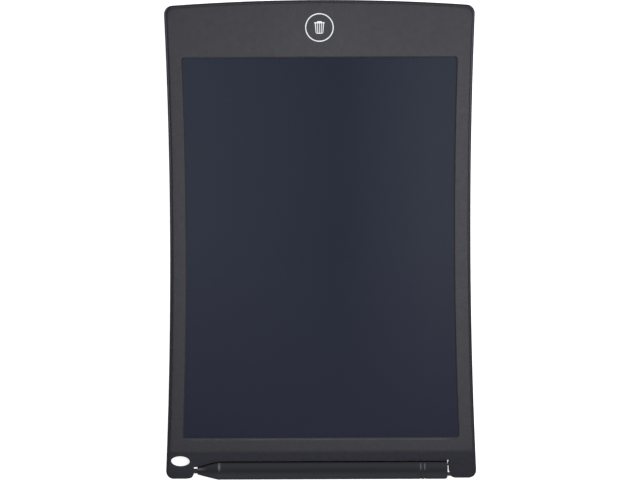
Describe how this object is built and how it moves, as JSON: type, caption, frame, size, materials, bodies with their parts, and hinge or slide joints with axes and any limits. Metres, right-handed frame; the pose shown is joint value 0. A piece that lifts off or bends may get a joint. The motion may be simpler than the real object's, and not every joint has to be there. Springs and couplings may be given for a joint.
{
  "type": "writing tablet",
  "caption": "Slim waisted writing tablet: recessed liquid crystal film, round erase button, pen clipped in the bottom edge, lanyard hole, and a cell door and lock slider behind.",
  "frame": {"origin": "bottom centre of the bounding box: on the back plane, below the middle of the casing", "axes": "+Z out of the writing film, +Y towards the erase button, +X to the right seen from the front"},
  "size_m": [0.1462, 0.2255, 0.0084],
  "materials": {
    "bezel_plastic": "fine grained, dark grey",
    "cover_plastic": "fine grained, near black",
    "tape": "matt",
    "film_face": "satin writing surface",
    "liquid_crystal": "satin",
    "film_backing": "satin",
    "filler_board": "matt",
    "flex_circuit": "satin",
    "connector_plastic": "matt",
    "board_laminate": "satin",
    "chip_plastic": "matt",
    "ferrite": "matt",
    "ceramic_parts": "matt",
    "screw_steel": "zinc plated",
    "button_plastic": "fine grained, dark grey",
    "marking_ink": "white print",
    "switch_shell": "satin",
    "switch_plunger": "matt",
    "knob_plastic": "matt",
    "cell_steel": "satin nickel",
    "cell_gasket": "matt",
    "contact_metal": "bright",
    "foam": "foam",
    "insert_brass": "knurled",
    "magnet_nickel": "nickel plated",
    "pen_plastic": "matt black",
    "nib_plastic": "smooth acetal"
  },
  "bodies": {
    "casing": {"front_bezel": "bezel_plastic", "back_cover": "cover_plastic", "film_tape_frame": "tape", "film_front_sheet": "film_face", "liquid_crystal_layer": "liquid_crystal", "film_back_sheet": "film_backing", "backing_board": "filler_board", "film_flex_tail": "flex_circuit", "flex_connector": "connector_plastic", "circuit_board": "board_laminate", "controller_chip": "chip_plastic", "boost_inductor": "ferrite", "chip_components": "ceramic_parts", "board_screws": "screw_steel", "erase_switch_body": "switch_shell", "lock_switch_body": "switch_shell", "coin_cell_can": "cell_steel", "coin_cell_gasket": "cell_gasket", "coin_cell_cap": "cell_steel", "positive_contact": "contact_metal", "negative_contact": "contact_metal", "battery_door_insert": "insert_brass", "magnets": "magnet_nickel"},
    "erase_button": {"erase_button": "button_plastic", "erase_button_marking": "marking_ink"},
    "switch_plunger": {"erase_switch_plunger": "switch_plunger"},
    "lock_knob": {"lock_knob": "knob_plastic"},
    "lock_actuator": {"lock_switch_actuator": "switch_plunger"},
    "battery_door": {"battery_door": "cover_plastic", "battery_door_pad": "foam"},
    "door_screw": {"battery_door_screw": "screw_steel"},
    "pen": {"pen_barrel": "pen_plastic", "pen_nose_cone": "pen_plastic", "pen_nib": "nib_plastic", "pen_end_cap": "pen_plastic", "pen_end_plug": "nib_plastic"}
  },
  "joints": [
    {"name": "erase_press", "type": "slide", "parent": "casing", "child": "erase_button", "axis": [0, 0, -1], "range_m": [0, 0.00035], "stiffness_N_per_m": 1200},
    {"name": "plunger_press", "type": "slide", "parent": "casing", "child": "switch_plunger", "axis": [0, 0, -1], "range_m": [0, 0.00035]},
    {"name": "lock_slide", "type": "slide", "parent": "casing", "child": "lock_knob", "axis": [1, 0, 0], "range_m": [0, 0.002]},
    {"name": "lock_actuator_slide", "type": "slide", "parent": "casing", "child": "lock_actuator", "axis": [1, 0, 0], "range_m": [0, 0.002]},
    {"name": "door_swing", "type": "hinge", "parent": "casing", "child": "battery_door", "pos_m": [0.044, 0.077, 0], "axis": [-1, 0, 0], "range_deg": [0, 60]},
    {"name": "door_screw_turn", "type": "hinge", "parent": "battery_door", "child": "door_screw", "pos_m": [0.044, 0.1043, 0.001], "axis": [0, 0, 1], "continuous": true},
    {"name": "pen_pull", "type": "slide", "parent": "casing", "child": "pen", "axis": [0, -1, 0], "range_m": [0, 0.04]}
  ],
  "couplings": [
    {"joint": "plunger_press", "follows": "erase_press", "ratio": 1},
    {"joint": "lock_actuator_slide", "follows": "lock_slide", "ratio": 1}
  ]
}
